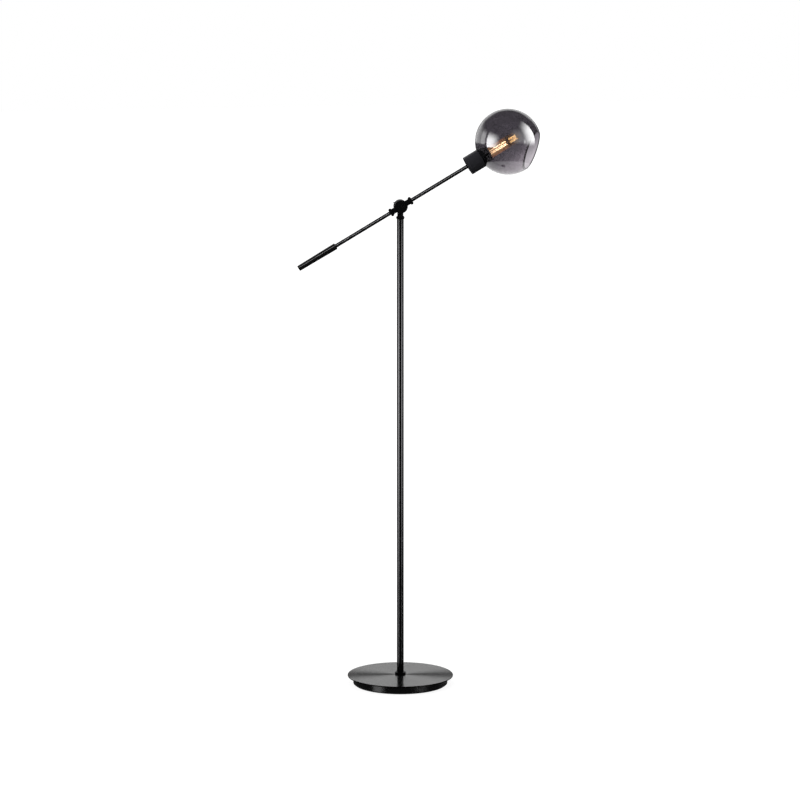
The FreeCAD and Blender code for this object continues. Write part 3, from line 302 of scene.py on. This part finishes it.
def smoked_glass():
    """Smoked, half-mirrored glass, with a tint that is paler towards the mouth and the underside. The mirror
    ends a little before the mouth."""
    surface = glass("smoked_glass", 1.25, 0.0002, Coat_IOR=1.75, Coat_Roughness=0.0)
    reach = from_centre(surface, (0.6, 0.0, -0.8))
    clouds = surface.math("MULTIPLY", surface.noise(surface.place(), 20, 2), 0.1)
    # the tint is paler towards the mouth and the underside, and darker towards the top
    paleness = surface.spread(surface.math("ADD", reach, clouds), 0, 1, 0.2, 0.85)
    wall = surface.blend(paleness, (0.23, 0.215, 0.24), (0.6, 0.56, 0.6))
    past = from_centre(surface, in_arm_plane(ARM_ELEVATION - MOUTH_ANGLE))
    # the glass near the mouth's rim is tinted almost black, a painted dark outline for the rim
    rim = surface.spread(past, 0, 1, RIM_SHADE_START, RIM_SHADE_END)
    surface.set(Base_Color=surface.blend(rim, wall, (0.02, 0.018, 0.02)))
    surface.set(Coat_Weight=surface.spread(past, 1, 0, *COAT_FADE))
    smoke = surface.node("ShaderNodeVolumeAbsorption", Color=(0.4, 0.38, 0.4, 1.0), Density=100.0)
    surface.links.new(smoke.outputs["Volume"], surface.nodes["Material Output"].inputs["Volume"])
    return surface.material


def amber_glass():
    """Clear amber glass with a painted glow beside the filaments, cream in the middle and dark red at its
    outline.
    """
    surface = glass("amber_glass", 1.45, 0.0001, Base_Color=(1.0, 0.8, 0.55))
    distance = along_arm(surface, 0.0)
    lit = surface.window(distance, LIT_START - 0.008, LIT_START, LIT_END - 0.006, LIT_END + 0.006)
    slant = surface.nodes.new("ShaderNodeLayerWeight").outputs["Facing"]
    # painted glow: cream where the glass faces the viewer, dark red towards its outline
    glow_outline = surface.spread(slant, 0, 1, 0.05, 0.45)
    surface.set(Emission_Color=surface.blend(glow_outline, (1.0, 0.7, 0.36), (0.35, 0.06, 0.02)))
    level = surface.math("MULTIPLY", lit, surface.spread(slant, 0.3, 0.5, 0.1, 0.8))
    surface.set(Emission_Strength=surface.math("MULTIPLY", level, AMBER_GLOW))
    return surface.material


def clear_glass():
    return glass("clear_glass", 1.5, 0.0001, Base_Color=(0.96, 0.96, 0.96)).material


def dark_insulator():
    return glass("bulb_insulator", 1.5, 0.0001, Base_Color=(0.03, 0.02, 0.03)).material


def glowing(name, colour, strength):
    """A lit filament whose glow varies a little along its length."""
    surface = Surface(name, Base_Color=(0.9, 0.7, 0.4), Roughness=0.6, Emission_Color=colour)
    coils = surface.spread(surface.noise(surface.place(), 500, 2), strength * 0.6, strength * 1.3)
    warm = surface.spread(along_arm(surface, LIT_START), 0.3, 1.0, 0.0, 0.02)
    surface.set(Emission_Strength=surface.math("MULTIPLY", coils, warm))
    return surface.material


def make_materials():
    return {
        "pad": moulded("pad", (0.03, 0.03, 0.03), 0.9, 500),
        "base_enamel": black_paint("base_enamel", (0.002, 0.002, 0.0022), 0.25, 200, 0.3, 1.0),
        "brushed_black": brushed_plate(),
        "black_chrome": polished_nickel("black_chrome", (0.1, 0.1, 0.103), 0.1, 0, 0.6),
        "arm_chrome": polished_nickel("arm_chrome", (0.16, 0.16, 0.165), 0.2, 60, 0.05),
        "gloss_black": black_paint("gloss_black", (0.003, 0.003, 0.0033), 0.2, 300, 0.5, 0.5),
        "black_metal": black_paint("black_metal", (0.003, 0.003, 0.0033), 0.4, 500, 0.15),
        "satin_black": black_paint("satin_black", (0.02, 0.02, 0.025), 0.5, 900, 0.5),
        "holder_black": moulded("holder_black", (0.002, 0.002, 0.0022), 0.5, 1200, 0.1),
        "black_plastic": moulded("black_plastic", (0.012, 0.012, 0.012), 0.5),
        "zinc": plain_metal("zinc", (0.55, 0.55, 0.56), 0.35),
        "brass": plain_metal("brass", (0.72, 0.52, 0.24), 0.3),
        "bulb_brass": plain_metal("bulb_brass", (0.7, 0.5, 0.22), 0.25),
        "ceramic": glazed_ceramic(),
        "bulb_insulator": dark_insulator(),
        "smoked_glass": smoked_glass(),
        "amber_glass": amber_glass(),
        "clear_glass": clear_glass(),
        "filament": glowing("filament", (1.0, 0.86, 0.70), 13.0),
        "filament_crown": glowing("filament_crown", (1.0, 0.80, 0.42), 4.0),
        "gold_wire": plain_metal("gold_wire", (0.8, 0.55, 0.22), 0.3),
    }


def dress(materials):
    """Gives every CAD node the material of its slot."""
    slots = {row["node"]: row["material_slot"] for row in frame["record"]["subparts"]}
    for name, node in frame["nodes"].items():
        for place in node.material_slots:
            place.material = materials[slots[name]]


# --- Studio -------------------------------------------------------------------------------------------
def facing(place, target):
    """Turns a lamp at this place towards a target."""
    toward = [there - here for here, there in zip(place, target)]
    quarter = math.radians(90)
    rise = math.atan2(toward[2], math.hypot(toward[0], toward[1]))
    return (quarter + rise, 0, math.atan2(toward[1], toward[0]) - quarter)


def softbox(name, place, target, width, height, power):
    """A soft lamp that shapes the light and shadow. The mirrored studio is painted in the world instead."""
    lamp = bpy.data.lights.new(name, "AREA")
    lamp.shape = "RECTANGLE"
    lamp.size = width
    lamp.size_y = height
    lamp.energy = power
    made = bpy.data.objects.new(name, lamp)
    made.location = place
    made.rotation_euler = facing(place, target)
    made.visible_camera = False
    made.visible_transmission = False
    made.visible_glossy = False
    bpy.context.scene.collection.objects.link(made)
    return made


def shine_on(lamp, names):
    """Keeps a lamp's light for these nodes only."""
    receivers = bpy.data.collections.new(lamp.name + "_receivers")
    for name in names:
        receivers.objects.link(frame["nodes"][name])
    lamp.light_linking.receiver_collection = receivers


def sideways(angle):
    """The level direction at this angle to the right of the camera, seen from the pole."""
    turn = math.radians(CAMERA_AZIMUTH + angle)
    return (math.sin(turn), -math.cos(turn), 0.0)


def around(angle, distance, height):
    x, y, z = sideways(angle)
    return (x * distance, y * distance, height)


def make_lamps():
    softbox("left_box", around(-60, 2.4, 1.9), (0, 0, 1.0), 1.0, 2.4, 40)
    softbox("right_box", around(75, 2.4, 2.6), (0, 0, 1.0), 1.2, 1.2, 30)
    key = softbox("arm_key", around(-9, 2.4, 2.8), (0, 0, 1.3), 1.6, 0.3, 8)
    key.visible_glossy = True
    shine_on(key, ("lamp_tube", "counter_tube", "counterweight"))


def brightest(tree, rise, zones, dark):
    """The brightest of these zones. Each has the angle that its first window takes, that window round the
    horizon, its window up, and its level."""
    total = dark
    for angle, across, up, level in zones:
        zone = tree.math("MULTIPLY", tree.window(angle, *across), tree.window(rise, *up))
        total = tree.math("MAXIMUM", total, tree.math("MULTIPLY", zone, level))
    return total


def mirrored_studio(tree, way):
    """What the lamp's mirrors see of an otherwise dark room, in degrees from the camera round the horizon and
    up. The perfectly sharp glass sees a backdrop, soft panels and a white floor. The softer metal sees a
    backdrop with a dark band across it, and low panels near the floor."""
    turn = tree.math("ARCTAN2", tree.dot(way, sideways(90)), tree.dot(way, sideways(0)))
    turn = tree.math("MULTIPLY", turn, math.degrees(1))
    rise = tree.math("MULTIPLY", tree.math("ARCSINE", tree.parts(way)[2]), math.degrees(1))
    aside = tree.math("ABSOLUTE", turn)
    seen_by_glass = [
        # backdrop: on the left, brighter at its near edge, and behind the lamp
        (turn, (-175, -150, -100, -90), (-8, -4, 12, 28), 1.0),
        (turn, (-125, -104, -93, -87), (-8, -4, 14, 30), 2.4),
        (aside, (140, 160, 189, 190), (2, 7, 22, 38), 0.7),
        # tall panels on the left and on the right
        (turn, (-84, -79, -64, -28), (-15, -12, 6, 34), 9.0),
        (turn, (48, 90, 104, 109), (-13, 9, 24, 62), 9.0),
        # a dim glow from the front to the right, with a small panel in it
        (turn, (0, 30, 104, 109), (-5, 10, 24, 55), 1.2),
        (turn, (54, 58, 62, 66), (-4, 0, 6, 14), 4.0),
    ]
    seen_by_metal = [
        # a low glow behind the lamp on the right
        (turn, (106, 124, 189, 190), (-12, -8, -4, 2), 0.6),
        # backdrop behind the lamp, under and over its dark band
        (aside, (130, 150, 189, 190), (-2, 4, 7, 12), 0.9),
        (aside, (130, 150, 189, 190), (13, 22, 36, 52), 1.85),
        # low panels on the left and on the right, and a dim one under the left one
        (turn, (-72, -60, -47, -36), (-13.4, -9.6, -8.6, -6.6), 5.2),
        (turn, (32, 43, 60, 72), (-12.6, -9.4, -8.8, -6.7), 3.4),
        (turn, (-76, -64, -54, -42), (-17, -15, -13.4, -13.0), 0.8),
    ]
    back = tree.math("MULTIPLY", tree.dot(way, CAMERA_BACK), 2.0)
    spread = tree.math("SQRT", tree.math("ADD", back, 2.0))
    height = tree.math("DIVIDE", tree.dot(way, CAMERA_UP), spread)
    below = tree.spread(height, FLOOR_SEEN, STUDIO_DARK, *FLOOR_EDGE)
    metal = brightest(tree, rise, seen_by_metal, STUDIO_DARK)
    sharp = brightest(tree, rise, seen_by_glass, below)
    return tree.choose(tree.ray("Singular"), metal, sharp)


def make_world():
    """White to the camera and through glass, a painted studio to mirrors and an even light to the rest."""
    world = bpy.data.worlds.new("studio")
    bpy.context.scene.world = world
    world.use_nodes = True
    tree = Nodes(world.node_tree)
    tree.nodes.clear()
    way = tree.nodes.new("ShaderNodeTexCoord").outputs["Generated"]
    level = tree.choose(tree.ray("Glossy"), WORLD_LEVEL, mirrored_studio(tree, way))
    level = tree.choose(tree.plainly_seen(), level, 1.0)
    background = tree.node("ShaderNodeBackground", Color=(1, 1, 1, 1), Strength=level)
    output = tree.nodes.new("ShaderNodeOutputWorld")
    tree.links.new(background.outputs["Background"], output.inputs["Surface"])


def make_floor():
    """A plain white floor that takes the lamp's soft shadow."""
    half = FLOOR_SIZE / 2
    corners = [(-half, -half, 0), (half, -half, 0), (half, half, 0), (-half, half, 0)]
    mesh = bpy.data.meshes.new("floor")
    mesh.from_pydata(corners, [], [(0, 1, 2, 3)])
    floor = bpy.data.objects.new("floor", mesh)
    floor.visible_glossy = False
    bpy.context.scene.collection.objects.link(floor)
    surface = Surface("studio_floor")
    diffuse = surface.node("ShaderNodeBsdfDiffuse", Color=(FLOOR_LIT, FLOOR_LIT, FLOOR_LIT, 1))
    far = surface.nodes.new("ShaderNodeVectorMath")
    far.operation = "LENGTH"
    surface.feed(far.inputs[0], surface.place())
    glow = surface.spread(far.outputs["Value"], FLOOR_GLOW_NEAR, 1.0, *FLOOR_GLOW)
    strength = surface.math("MULTIPLY", glow, surface.plainly_seen())
    white = surface.node("ShaderNodeEmission", Strength=strength)
    lit = surface.nodes.new("ShaderNodeAddShader")
    surface.links.new(diffuse.outputs["BSDF"], lit.inputs[0])
    surface.links.new(white.outputs["Emission"], lit.inputs[1])
    surface.links.new(lit.outputs["Shader"], surface.nodes["Material Output"].inputs["Surface"])
    mesh.materials.append(surface.material)


def make_camera():
    data = bpy.data.cameras.new("camera")
    data.sensor_width = SENSOR
    data.lens = LENS
    data.clip_end = CAMERA_REACH
    camera = bpy.data.objects.new("camera", data)
    camera.location = CAMERA_PLACE
    camera.rotation_euler = (math.radians(90 + CAMERA_PITCH), 0, math.radians(CAMERA_AZIMUTH))
    bpy.context.scene.collection.objects.link(camera)
    bpy.context.scene.camera = camera
    bpy.context.scene.view_settings.view_transform = "Standard"


make_camera()
make_world()
make_floor()
make_lamps()
dress(make_materials())
